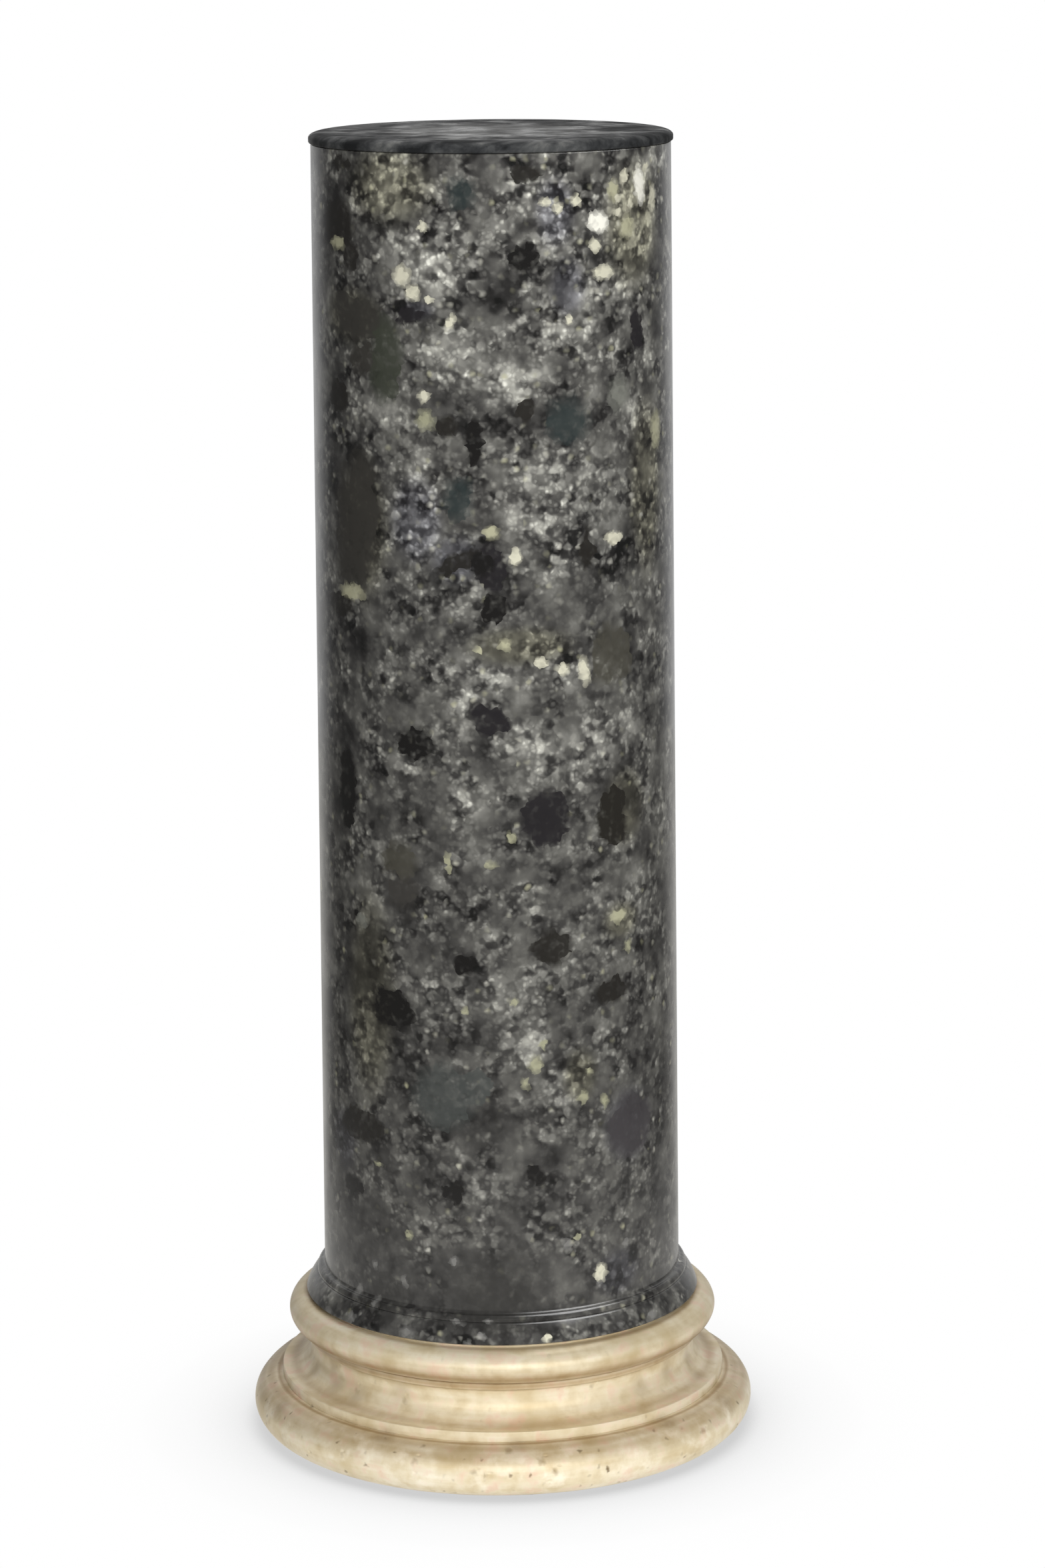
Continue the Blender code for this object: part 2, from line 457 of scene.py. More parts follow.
# %% Studio: the glint on the lip of the foot
glint = add_softbox(
    "glint_softbox", azimuth=72, distance=0.8, height=1.70, width=1.1, tall=0.9, power=26, aim_height=0.15
)
mirror_only_in(glint, shaft)

# %% [markdown]
# The top disc is a thin slab sawn from dark slate, cut round and eased at its edge: a wide soft
# round above, where hands meet it, and a small one below. Both are drawn as quarter ellipses.

# %% Turn the top disc
disc_low, disc_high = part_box("top_disc")
DISC_RADIUS = disc_high[0]
DISC_UPPER_REACH = 0.0100
DISC_UPPER_ROUND = 0.0046
DISC_LOWER_ROUND = 0.0016


def disc_outline():
    """A flat disc with a rounded edge."""
    top, bottom = disc_high[2], disc_low[2]
    upper_centre = (DISC_RADIUS - DISC_UPPER_REACH, top - DISC_UPPER_ROUND)
    lower_centre = (DISC_RADIUS - DISC_LOWER_ROUND, bottom + DISC_LOWER_ROUND)
    points = [(0.0, top)]
    points += curve(upper_centre, DISC_UPPER_REACH, DISC_UPPER_ROUND, 90, 0, 12)
    points += curve(lower_centre, DISC_LOWER_ROUND, DISC_LOWER_ROUND, 0, -90, 6)
    points += [(0.0, bottom)]
    return points


top_disc = turn_on_lathe("slate_disc", disc_outline())

# %% [markdown]
# Worn gilding. The base is turned wood under layers of chalk and glue, called gesso, then red or
# pale clay, called bole, and then gold leaf laid on in strips. Knocks went through it all, so
# they are dents in the mesh. Each is an azimuth in degrees, and then in mm a radius, a height, a
# width and a depth.

# %% Knock small dents into the base
KNOCKS = [
    (10, 213.5, 16.2, 4.6, 1.5), (9.6, 206.9, 36.2, 3, 0.9), (12.4, 212.2, 28.9, 3, 0.8),
    (-38.8, 212.8, 27.5, 3.4, 0.9), (-47.2, 164.6, 66.7, 3.2, 0.6), (-36.4, 164.4, 75.5, 3.6, 0.7),
    (-29, 164.3, 68.2, 3.4, 0.6), (-19.6, 208.3, 34.8, 3.6, 0.9), (-20, 214, 21.5, 3.4, 1),
    (-5.8, 212.5, 28.2, 2.8, 0.8), (-3, 213.5, 25.3, 2.6, 0.7), (2, 197.8, 41.4, 2.6, 0.6),
    (28.2, 165.2, 78.2, 4.2, 0.8), (-49, 213.7, 16.9, 3.6, 1.1), (-69.2, 211.3, 10.4, 4.4, 1.4),
    (53.2, 211.1, 31, 3, 0.8), (118, 213.6, 18, 4.6, 1.3), (151, 205, 37.4, 3.4, 0.9),
    (-134, 213.9, 22, 4.2, 1.2), (176, 182.4, 98, 3.6, 1), (-102, 181.8, 105, 3, 0.8),
]
REFINED_BEYOND = 3 * MM


def knock_place(azimuth, radius, height):
    """A point in metres from an azimuth in degrees and a radius and height in mm."""
    turn = math.radians(azimuth)
    return Vector((radius * math.sin(turn), -radius * math.cos(turn), height)) * MM


def deselect_all(kind):
    """Leaves edit mode with nothing selected, set to select vertices or faces."""
    bpy.ops.object.mode_set(mode="EDIT")
    bpy.ops.mesh.select_mode(type=kind)
    bpy.ops.mesh.select_all(action="DESELECT")
    bpy.ops.object.mode_set(mode="OBJECT")


def knock(piece, place, width, depth):
    """Refines the mesh around a place and pushes its middle in, softly all round."""
    deselect_all("FACE")
    for face in piece.data.polygons:
        face.select = (face.center - place).length < width + REFINED_BEYOND
    bpy.ops.object.mode_set(mode="EDIT")
    bpy.ops.mesh.subdivide(number_cuts=2)
    deselect_all("VERT")
    nearest = min(piece.data.vertices, key=lambda point: (point.co - place).length_squared)
    nearest.select = True
    inwards = nearest.normal * -depth
    bpy.ops.object.mode_set(mode="EDIT")
    bpy.ops.transform.translate(
        value=inwards, use_proportional_edit=True, proportional_edit_falloff="SMOOTH",
        proportional_size=width / 2, use_proportional_connected=False,
    )
    bpy.ops.object.mode_set(mode="OBJECT")


bpy.ops.object.select_all(action="DESELECT")
bpy.context.view_layer.objects.active = base
base.select_set(True)
for azimuth, radius, height, width, depth in KNOCKS:
    knock(base, knock_place(azimuth, radius, height), width * MM, depth * MM)
print("knocked", len(KNOCKS), "dents; the base has", len(base.data.polygons), "faces")

# %% [markdown]
# A gessoed block is never quite true: brush and sandpaper leave it slightly wavy, which breaks
# the highlight along each round. A Displace modifier moves the surface by at most a quarter of a
# millimetre each way, from a slow cloud pattern, and is applied.

# %% The base's slight waviness
WAVE_SIZE = 0.045
WAVE_DEPTH = 0.0005
waves = bpy.data.textures.new("brushed_gesso", "CLOUDS")
waves.noise_scale = WAVE_SIZE
wavy = base.modifiers.new("brushed_gesso", "DISPLACE")
wavy.texture = waves
wavy.texture_coords = "LOCAL"
wavy.strength = WAVE_DEPTH
wavy.mid_level = 0.5
bpy.ops.object.modifier_apply(modifier=wavy.name)
print("base waviness applied, lowest point", round(min(point.co.z for point in base.data.vertices), 5))

# %% [markdown]
# The drum's surface, unrolled. Scagliola is plaster coloured right through, with coloured chips
# kneaded in, laid on, ground flat and polished. So its pattern has no relief, and only nodes
# make it. The chips that the eye remembers are placed one by one, and for that the round drum is
# unrolled: metres round it from the front, and metres up. The fine speckle between them needs no
# placing, so it is read straight from object coordinates, which have no seam.

# %% Unroll the drum
GIRTH_RADIUS = 0.149


def unrolled(tree, point):
    """A point of the drum as metres round from the front, plus to the right, and metres up."""
    axes = add_node(tree, "SeparateXYZ", [point])
    forward = add_node(tree, "Math", [axes.outputs["Y"], -1.0], operation="MULTIPLY")
    turn = add_node(tree, "Math", [axes.outputs["X"], forward], operation="ARCTAN2")
    girth = add_node(tree, "Math", [turn, GIRTH_RADIUS], operation="MULTIPLY")
    return add_node(tree, "CombineXYZ", {"X": girth, "Y": axes.outputs["Z"]})


print("the drum unrolls to", round(2 * math.pi * GIRTH_RADIUS, 3), "m")

# %% [markdown]
# Shapes on the unrolled drum. A chip is a soft ellipse whose outline is crumbled by a noise and
# pulled to the straight edges of broken plaster. Many are laid together by taking the deepest
# of them at each point.

# %% Chips, their crumbled edges, and sums of shares
CRUMB = 6 * MM


def furthest(tree, values, operation):
    """The greatest of some values with MAXIMUM, or the least with MINIMUM."""
    chosen, *others = values
    for value in others:
        chosen = add_node(tree, "Math", [chosen, value], operation=operation)
    return chosen


def held_back(tree, share, gates):
    """A share that several gates from 0 to 1 hold back in turn."""
    for gate in gates:
        share = add_node(tree, "Math", [share, gate], operation="MULTIPLY")
    return share


def with_added(tree, level, parts):
    """A level with parts added to it, each a share and its weight."""
    for share, weight in parts:
        level = add_node(tree, "Math", [share, weight, level], operation="MULTIPLY_ADD")
    return level


def depth_in_chips(tree, chart, chips):
    """1 in the middle of a chip, falling to 0 at its rim, and 0 outside. A chip is its azimuth in
    degrees, its height, width and length in mm, and its tilt in degrees if it has one."""
    depths = []
    for azimuth, height, width, length, *tilt in chips:
        placed = add_node(
            tree, "Mapping",
            {"Vector": chart, "Location": (math.radians(azimuth) * GIRTH_RADIUS, height * MM, 0.0),
             "Rotation": (0.0, 0.0, math.radians(sum(tilt))),
             "Scale": (width * MM / 2, length * MM / 2, 1.0)},
            vector_type="TEXTURE",
        )
        soft = add_node(tree, "TexGradient", {"Vector": placed}, gradient_type="SPHERICAL")
        depths.append(soft.outputs["Fac"])
    return furthest(tree, depths, "MAXIMUM")


def crumbled(tree, point, shake):
    """Shakes a point about, which crumbles the outline of a chip or a grain."""
    crumbs = add_node(tree, "TexNoise", {"Vector": point, "Scale": 1 / CRUMB, "Detail": 1.0})
    return add_node(
        tree, "VectorMath", [crumbs.outputs["Color"], (shake, shake, shake), point], operation="MULTIPLY_ADD"
    )


def angular(tree, point, facet):
    """Pulls a point towards the middle of its small cell, which makes round outlines angular."""
    cells = add_node(tree, "TexVoronoi", {"Vector": point, "Scale": 1 / facet})
    return add_node(
        tree, "Mix", {0: 0.5, 4: point, 5: cells.outputs["Position"]}, data_type="VECTOR"
    ).outputs[1]


# %% [markdown]
# Areas. Where a lump of one dough was rolled out, a stretch of the drum is lighter, darker,
# yellower or bluer than the rest. The dark areas low on the drum, next to the base, are painted
# shade from the base. These are broad soft ellipses, placed like the chips.

# %% Lighter, darker, yellower and bluer areas, and painted shade low on the drum
LIGHT_AREAS = [
    (-30, 1062, 80, 60), (50, 1040, 100, 110), (-10, 930, 60, 70, 20), (12, 815, 80, 90), (-26, 835, 55, 70),
    (-10, 670, 80, 60), (-6, 578, 60, 50), (10, 620, 90, 40), (33, 275, 30, 50), (14, 1055, 90, 50),
    (8, 370, 60, 70), (-16, 1012, 70, 110), (8, 905, 70, 60), (-23, 785, 50, 60), (-10, 628, 36, 40),
    (46, 985, 60, 50), (50, 470, 90, 50), (30, 820, 50, 90), (12, 592, 60, 50), (40, 622, 60, 50),
    (6, 420, 70, 70), (20, 330, 50, 50), (25, 130, 50, 40), (8, 815, 50, 50),
]
# Dark areas: the plaster's own darker stretches, and painted shade low on the drum by the base.
DARK_AND_SHADED_AREAS = [
    (0, 165, 170, 90), (-58, 590, 60, 170), (-52, 800, 80, 170), (-7, 300, 90, 50), (28, 742, 80, 50),
    (2, 985, 40, 50), (-30, 500, 70, 60), (12, 270, 50, 40), (-57, 1030, 60, 60), (-57, 905, 50, 70),
    (-50, 190, 130, 110), (-44, 960, 60, 40), (42, 700, 60, 70), (44, 560, 60, 60), (-50, 430, 60, 70),
    (-30, 140, 90, 60), (-48, 690, 60, 60), (20, 722, 50, 40), (-30, 645, 50, 50),
]
YELLOW_AREAS = [
    (-34, 1065, 110, 80), (50, 1030, 90, 130), (8, 700, 110, 40), (42, 465, 50, 40), (26, 340, 40, 60),
    (56, 820, 60, 180), (-45, 400, 70, 220), (-50, 960, 90, 60), (-46, 790, 70, 150), (44, 560, 60, 80),
]
LAVENDER_AREAS = [
    (20, 1045, 45, 70), (24, 985, 40, 60), (-24, 968, 40, 20), (-25, 800, 60, 90), (45, 290, 70, 80),
    (40, 165, 60, 50), (-60, 270, 50, 70), (-12, 770, 60, 50),
]


def area_share(tree, chart, areas):
    """1 inside the areas, falling softly to 0 outside them."""
    depth = depth_in_chips(tree, chart, areas)
    return add_node(tree, "MapRange", [depth, 0.0, 0.6], **SMOOTH)


print("areas: light", len(LIGHT_AREAS), "and dark", len(DARK_AND_SHADED_AREAS))

# %% [markdown]
# The ground imitates a dark granite. It is a crowd of soft pebbles about 6 mm across, each with
# a lightness of its own, which a smooth Voronoi texture blends at their borders. Smaller grains
# lie between them. Real dust is finer than the render can show, so they are drawn at 4 mm. A
# slow noise gathers them into clumps, more in the light areas and less in the dark ones.

# %% The ground's pebbles and grains
PEBBLE = 6.4 * MM
GRAIN = 4.0 * MM
GRAIN_SHAKE = 4 * MM
CLUMP = 26 * MM
DARK_GAPS = -0.18


def grain_strength(tree, point, light, dark):
    """How strongly the grains stand out: in clumps, more in the light areas, less in the dark."""
    clumps = add_node(tree, "TexNoise", {"Vector": point, "Scale": 1 / CLUMP, "Detail": 2.0})
    clumps = with_added(tree, clumps, ((light, 0.08), (dark, -0.12)))
    return add_node(tree, "MapRange", [clumps, 0.34, 0.62, 0.25, 1.20], **SMOOTH)


def grains_and_pebbles(tree, point):
    """Above 0 on light pebbles and grains, below 0 on dark ones and in the gaps."""
    shaken = crumbled(tree, point, GRAIN_SHAKE)
    pebbles = add_node(
        tree, "TexVoronoi", {"Vector": shaken, "Scale": 1 / PEBBLE, "Smoothness": 0.7}, feature="SMOOTH_F1"
    )
    pebble = add_node(tree, "SeparateColor", [pebbles.outputs["Color"]]).outputs["Red"]
    grains = add_node(tree, "TexVoronoi", {"Vector": shaken, "Scale": 1 / GRAIN})
    lot = add_node(tree, "SeparateColor", [grains.outputs["Color"]]).outputs["Red"]
    round_grain = add_node(tree, "MapRange", [grains.outputs["Distance"], 0.75, 0.05], **SMOOTH)
    grain = add_node(tree, "Math", [lot, round_grain], operation="MULTIPLY")
    return with_added(tree, DARK_GAPS, ((pebble, 0.33), (grain, 0.20)))


# %% [markdown]
# The ground's colour. Grains, a mottle and broad patches make one grey level, with more contrast
# and a lighter grey towards the top: partly the plaster's own, and partly painted light where the
# lamp falls stronger on the upper drum. A colour ramp turns that level to plaster greys. The
# areas then shift it a little to yellow or to lavender.

# %% The ground's colour
MOTTLE = 30 * MM
BROAD_PATCH = 95 * MM
NOISES_MIDDLE = 0.39
# Low and high lightness: partly painted light, as the lamp falls stronger on the upper drum.
LOW_LIGHTNESS = 0.285
HIGH_LIGHTNESS = 0.325


def ground_lightness(tree, point, light, dark, gathered):
    """How light the plaster and its grains are, as an sRGB grey level from 0 to 1; painted light at the top.
    """
    mottle = add_node(
        tree, "TexNoise", {"Vector": point, "Scale": 1 / MOTTLE, "Detail": 2.0, "Roughness": 0.6}
    )
    broad = add_node(tree, "TexNoise", {"Vector": point, "Scale": 1 / BROAD_PATCH, "Detail": 1.0})
    deviation = with_added(
        tree, -NOISES_MIDDLE,
        ((grains_and_pebbles(tree, point), gathered), (mottle, 0.62), (broad, 0.16), (light, 0.10),
         (dark, -0.075)),
    )
    height = add_node(tree, "SeparateXYZ", [point]).outputs["Z"]
    # Painted light: contrast and lightness rise towards the top.
    contrast = add_node(tree, "MapRange", [height, 0.25, 1.05, 0.75, 1.20])
    middle = add_node(tree, "MapRange", [height, 0.15, 1.08, LOW_LIGHTNESS, HIGH_LIGHTNESS])
    return add_node(tree, "Math", [deviation, contrast, middle], operation="MULTIPLY_ADD")


def tinted_ground(tree, chart, lightness):
    """The ground's colour: neutral to olive greys, with a yellow or lavender cast here and there."""
    ground = add_node(
        tree, "ValToRGB", {"Fac": lightness},
        stops=[
            (0.06, "#161615"), (0.16, "#2a2928"), (0.26, "#434240"), (0.36, "#5d5c58"),
            (0.46, "#777671"), (0.60, "#a09f97"), (0.76, "#cfcec4"), (0.90, "#efeee2"),
        ],
    )
    for areas, tint in ((YELLOW_AREAS, "#fffdec"), (LAVENDER_AREAS, "#eff0ff")):
        share = area_share(tree, chart, areas)
        ground = add_node(
            tree, "Mix", {0: share, 6: ground, 7: colour(tint)}, data_type="RGBA", blend_type="MULTIPLY"
        ).outputs[2]
    return ground


# %% [markdown]
# The chips. Each colour of plaster was mixed on its own, rolled out, dried and broken up, so
# its chips have one colour and angular edges. Each colour here has the size of its facets in mm,
# how soft its edges are, how fully it covers, and its list of chips, read from the column: where
# each lies, its width and length, and its tilt if it has one.

# %% The chips, colour by colour
CHIPS = {
    "#474a48": (14, 0.25, 0.80, [(-16.6, 328, 60, 62), (-7, 338, 28, 37)]),
    "#48463e": (14, 0.25, 0.85, [(40.5, 690, 48, 55), (-31.9, 523, 40, 33)]),
    "#262420": (14, 0.16, 1.00, [(40.1, 556, 34, 60)]),
    "#383632": (14, 0.25, 0.95, [
        (-48, 963, 74, 36, -12), (-44, 928, 34, 34, -35), (-45, 800, 42, 130), (-53, 790, 32, 110),
    ]),
    "#3b3e35": (12, 0.25, 0.92, [(-34.4, 930, 36, 78)]),
    "#242224": (12, 0.16, 0.97, [
        (0, 766, 30, 38, 10), (-0.8, 643, 34, 26, -35), (16.3, 562, 46, 50), (-76, 382, 60, 35),
        (-25, 968, 28, 15), (53, 948, 16, 34, 15),
    ]),
    "#3f3c3e": (12, 0.30, 0.90, [(47.3, 292, 59, 62)]),
    "#3d3b38": (12, 0.30, 0.88, [(-30, 498, 36, 30)]),
    "#2c2b29": (14, 0.60, 0.78, [(0, 160, 104, 92), (-40, 150, 66, 44)]),
    "#2c3434": (10, 0.40, 0.85, [(-8.4, 1064, 27, 32), (24.8, 882, 44, 44), (-10, 822, 30, 40)]),
    "#252320": (9, 0.22, 0.95, [
        (-53, 1084, 31, 15), (-55.6, 1035, 48, 44), (-13.9, 879, 23, 20), (11, 893, 16, 20),
        (-10.7, 771, 44, 16, 25), (18.2, 453, 38, 32), (39.1, 410, 40, 26), (-49.3, 291, 61, 32),
        (-56, 898, 34, 26), (31, 780, 14, 40), (-56, 728, 40, 24), (12, 1078, 30, 14),
        (-49, 1010, 22, 30, 20),
    ]),
    "#1b1a19": (9, 0.20, 1.00, [
        (11.1, 1013, 30, 26), (-5, 866, 17, 46), (0.7, 735, 24, 28), (-24.6, 621, 38, 32),
        (-53.6, 576, 26, 75), (-9.4, 440, 17, 21), (-34.3, 398, 50, 40, -15), (-13.6, 247, 18, 21),
        (12, 262, 18, 18), (-53.5, 237, 29, 18), (-3, 770, 22, 24),
    ]),
    "#7f8078": (6, 0.60, 0.80, [(-47.5, 467, 20, 16), (44, 900, 30, 34)]),
    "#82817e": (4, 0.75, 0.72, [
        (-50.5, 147, 11, 14), (-41.5, 141, 10, 12), (-48.5, 127, 9, 8), (-27.5, 127, 15, 11),
        (-12.5, 137, 16, 5), (-3, 139, 9, 5), (-8.5, 122, 8, 9), (-43, 174, 8, 10), (50.5, 126, 12, 10),
        (38, 128, 8, 6), (-60, 122, 14, 10), (-5, 129, 7, 6), (-31, 165, 7, 12), (-14, 188, 10, 9),
        (22, 200, 10, 14), (44, 190, 9, 8),
    ]),
    "#b1af93": (5, 0.50, 0.90, [
        (0.1, 795, 15, 15), (-50.3, 739, 38, 17), (63.7, 866, 22, 36), (-4.1, 700, 10, 8),
        (3.9, 704, 13, 11), (42.1, 472, 22, 14), (48, 1032, 20, 24), (42, 1062, 16, 20), (-56, 1020, 26, 12),
    ]),
    "#d2cfba": (4, 0.50, 0.95, [
        (37.9, 998, 24, 13), (17.8, 1055, 13, 9), (22, 1051, 11, 10), (28, 1056, 12, 11), (-28, 998, 19, 20),
        (-24.2, 985, 16, 17, 25), (-20.6, 1037, 10, 10), (-18.7, 979, 9, 9), (-20.7, 903, 13, 11),
        (7.3, 775, 12, 16), (41.4, 785, 22, 13), (15.4, 689, 15, 11), (22.2, 682, 15, 11),
        (29.6, 679, 13, 26, 15), (33.9, 171, 15, 18), (14, 126, 8, 7), (35, 1020, 14, 12), (44, 1044, 11, 9),
        (25.5, 962, 8, 10), (-12, 962, 9, 16, -30), (62, 1052, 14, 26, -10), (47, 1072, 12, 14),
        (50, 1050, 9, 9), (58, 1078, 12, 10), (44, 1056, 8, 8),
    ]),
    "#a3a287": (4, 0.60, 0.85, [
        (5.3, 546, 9, 11), (46.2, 445, 11, 13), (5.7, 409, 7, 7), (-9.5, 402, 6, 7), (12.3, 356, 14, 20),
        (9.1, 340, 9, 11), (15, 372, 7, 9), (-41, 262, 9, 8), (30, 345, 7, 8), (36, 318, 9, 14),
        (28.1, 324, 11, 13), (-29, 205, 8, 8), (26, 205, 9, 7), (-14.4, 524, 7, 20), (-1.2, 524, 12, 8),
        (-20.3, 884, 20, 20),
    ]),
    "#f2f0e4": (4, 0.45, 1.00, [(36, 1038, 26, 19, -10), (54.5, 1064, 17, 36, 10)]),
}
CHIP_SHAKE = 6 * MM


def lay_chips(tree, ground, point, chart):
    """Lays the chips over the ground, one colour after another. A few grains show through."""
    loose = crumbled(tree, chart, CHIP_SHAKE)
    broken = {}
    dough = add_node(tree, "TexNoise", {"Vector": point, "Scale": 1 / PEBBLE, "Detail": 1.0})
    whole = add_node(tree, "MapRange", [dough, 0.30, 0.5, 0.75])
    for tint, (facet, softness, most, chips) in CHIPS.items():
        if facet not in broken:
            broken[facet] = angular(tree, loose, facet * MM)
        depth = depth_in_chips(tree, broken[facet], chips)
        share = add_node(tree, "MapRange", [depth, 0.0, softness, 0.0, most])
        share = add_node(tree, "Math", [share, whole], operation="MULTIPLY")
        ground = add_node(tree, "Mix", {0: share, 6: ground, 7: colour(tint)}, data_type="RGBA").outputs[2]
    return ground


print(sum(len(chips) for *_, chips in CHIPS.values()), "chips in", len(CHIPS), "colours")

# %% [markdown]
# The back. Nobody places chips one by one where few will look, and the maker had the same dough
# all round. So past the listed stretch each cell of a coarse pattern holds one chip or
# none, with a size and a colour drawn from the cell's own random numbers. Each kind strewn there
# has the size of its cells, its largest and smallest chip as shares of a cell, how many cells
# hold one, and its colours.

# %% Strewn chips
HAND_PLACED_TO = math.radians(80)
BACK_STARTS_AT_Y = -GIRTH_RADIUS * math.cos(HAND_PLACED_TO)
STREWN = [
    (62 * MM, 0.46, 0.12, 0.80, ["#333033", "#1c1a19", "#35302a", "#434a40", "#262421", "#3d3b33"]),
    (34 * MM, 0.24, 0.06, 0.70, ["#b3b28c", "#8a8a82", "#dad6c0", "#c6c4a8"]),
]
STREWN_FACET = 9 * MM


def strew_chips(tree, ground, point, cell, largest, smallest, presence, tints):
    """Lays one chip or none in each cell past the listed stretch."""
    lumps = add_node(tree, "TexVoronoi", {"Vector": point, "Scale": 1 / cell})
    lots = add_node(tree, "SeparateColor", [lumps.outputs["Color"]])
    size = add_node(tree, "MapRange", [lots.outputs["Red"], 0.0, 1.0, smallest, largest])
    depth = add_node(tree, "Math", [size, lumps.outputs["Distance"]], operation="SUBTRACT")
    share = add_node(tree, "MapRange", [depth, 0.0, 0.05, 0.0, 0.92])
    there = add_node(tree, "Math", [lots.outputs["Green"], presence], operation="LESS_THAN")
    lump_y = add_node(tree, "SeparateXYZ", [lumps.outputs["Position"]]).outputs["Y"]
    behind = add_node(tree, "Math", [lump_y, BACK_STARTS_AT_Y], operation="GREATER_THAN")
    share = held_back(tree, share, (there, behind))
    stops = [(place / len(tints), tint) for place, tint in enumerate(tints)]
    mixed = add_node(tree, "ValToRGB", {"Fac": lots.outputs["Blue"]}, stops=stops)
    mixed.color_ramp.interpolation = "CONSTANT"
    return add_node(tree, "Mix", {0: share, 6: ground, 7: mixed}, data_type="RGBA").outputs[2]


print("strewn chips start", round(-BACK_STARTS_AT_Y / MM), "mm in front of the middle plane")

# %% [markdown]
# Small bright crumbs of paler plaster are strewn in the same way over the whole drum, where the
# grains are gathered, and more of them towards the top.

# %% Small bright crumbs
CRUMB_CELL = 8.5 * MM


def strew_crumbs(tree, ground, point, gathered):
    """Lays one small pale crumb or none in each cell."""
    cells = add_node(tree, "TexVoronoi", {"Vector": point, "Scale": 1 / CRUMB_CELL})
    lots = add_node(tree, "SeparateColor", [cells.outputs["Color"]])
    height = add_node(tree, "SeparateXYZ", [point]).outputs["Z"]
    presence = add_node(tree, "MapRange", [height, 0.3, 1.0, 0.20, 0.42])
    there = add_node(tree, "Math", [lots.outputs["Red"], presence], operation="LESS_THAN")
    dot = add_node(tree, "MapRange", [cells.outputs["Distance"], 0.44, 0.0], **SMOOTH)
    strength = add_node(tree, "MapRange", [lots.outputs["Green"], 0.0, 1.0, 0.05, 0.60])
    share = held_back(tree, there, (dot, strength, gathered))
    tint = add_node(
        tree, "ValToRGB", {"Fac": lots.outputs["Blue"]}, stops=[(0.2, "#b7b597"), (0.8, "#dedcd0")]
    )
    return add_node(tree, "Mix", {0: share, 6: ground, 7: tint}, data_type="RGBA").outputs[2]


# %% [markdown]
# The whole material. Plaster bound with glue, ground with ever finer stone and waxed, takes a
# sheen like marble's: an IOR of 1.5 and a low, slightly uneven roughness. A shallow bump stands
# for the waviness that hand grinding leaves, and it shows only in the reflections.

# %% Scagliola: the whole material
POLISH_FINE = 0.16
POLISH_DULL = 0.25
GRINDING_WAVE = 55 * MM


def scagliola(tree):
    """Polished scagliola: coloured plaster with an IOR of 1.5 under a hand polish."""
    point = add_node(tree, "TexCoord").outputs["Object"]
    chart = unrolled(tree, point)
    light = area_share(tree, chart, LIGHT_AREAS)
    # The dark areas include painted shade low on the drum, by the base.
    dark = area_share(tree, chart, DARK_AND_SHADED_AREAS)
    gathered = grain_strength(tree, point, light, dark)
    ground = tinted_ground(tree, chart, ground_lightness(tree, point, light, dark, gathered))
    ground = strew_crumbs(tree, ground, crumbled(tree, point, GRAIN_SHAKE), gathered)
    broken = angular(tree, point, STREWN_FACET)
    for kind in STREWN:
        ground = strew_chips(tree, ground, broken, *kind)
    ground = lay_chips(tree, ground, point, chart)
    wave = add_node(tree, "TexNoise", {"Vector": point, "Scale": 1 / GRINDING_WAVE, "Detail": 1.0})
    polish = add_node(tree, "MapRange", [wave, 0.3, 0.7, POLISH_FINE, POLISH_DULL])
    ripple = add_node(tree, "Bump", {"Strength": 0.25, "Distance": 0.4 * MM, "Height": wave})
    return {"Base Color": ground, "Roughness": polish, "IOR": 1.5, "Normal": ripple}


dress(shaft, "polished_scagliola", scagliola)

# %% [markdown]
# The gilding's streaks. Leaf is laid in strips and brushed down, so its tone runs round the
# base. The noise is squeezed along the outline and not along the turn, by reading it in four
# dimensions: the place, and the distance from the axis.

# %% Streaks round the base
STREAK = 70 * MM
FINE_STREAK = 26 * MM
STREAK_SQUEEZE = 9.0


def distance_from_axis(tree, point):
    """How far a point lies from the axis of the column."""
    level = add_node(tree, "VectorMath", [point, (1.0, 1.0, 0.0)], operation="MULTIPLY")
    return add_node(tree, "VectorMath", [level], operation="LENGTH").outputs["Value"]


def streaks(tree, point, radius, size, detail):
    """Noise drawn out along the turn, about nine times as long as it is wide."""
    squeezed = add_node(tree, "VectorMath", [point, (1.0, 1.0, STREAK_SQUEEZE)], operation="MULTIPLY")
    across = add_node(tree, "Math", [radius, STREAK_SQUEEZE], operation="MULTIPLY")
    return add_node(
        tree, "TexNoise", {"Vector": squeezed, "W": across, "Scale": 1 / size, "Detail": detail},
        noise_dimensions="4D",
    )


# %% [markdown]
# Dirt and painted shade, smudges and bruises. The darkening is placed by distance from the
# recesses, measured in the outline's own plane of radius and height, which makes it the same all
# round: dirt in the recesses, and painted shade under the upper round, over the lower round and
# at the seat under the drum. Each recess is a radius, a height and a reach in mm, and how dark it
# is. Smudges are placed one by one, each an azimuth in degrees and a radius and height in mm: brown
# smudges, and painted shade at the sides of the hollow. Every knock has bruised the gilding.

# %% Dirt and painted shade in the recesses, and smudges
# Recesses: dirt, and painted shade under the upper round, over the lower round and at the seat.
RECESSES = [
    (180, 92.5, 13, 0.75), (170.5, 87.2, 6.6, 1), (169, 83, 6, 0.7), (166.8, 79.6, 3, 0.7),
    (193, 42.4, 4.5, 0.8), (200, 40.5, 12, 0.5), (207.5, 36.8, 14, 0.42), (179, 53.5, 8.5, 0.45),
    (166.8, 116, 5, 0.6), (198.5, 1, 8, 0.4),
]
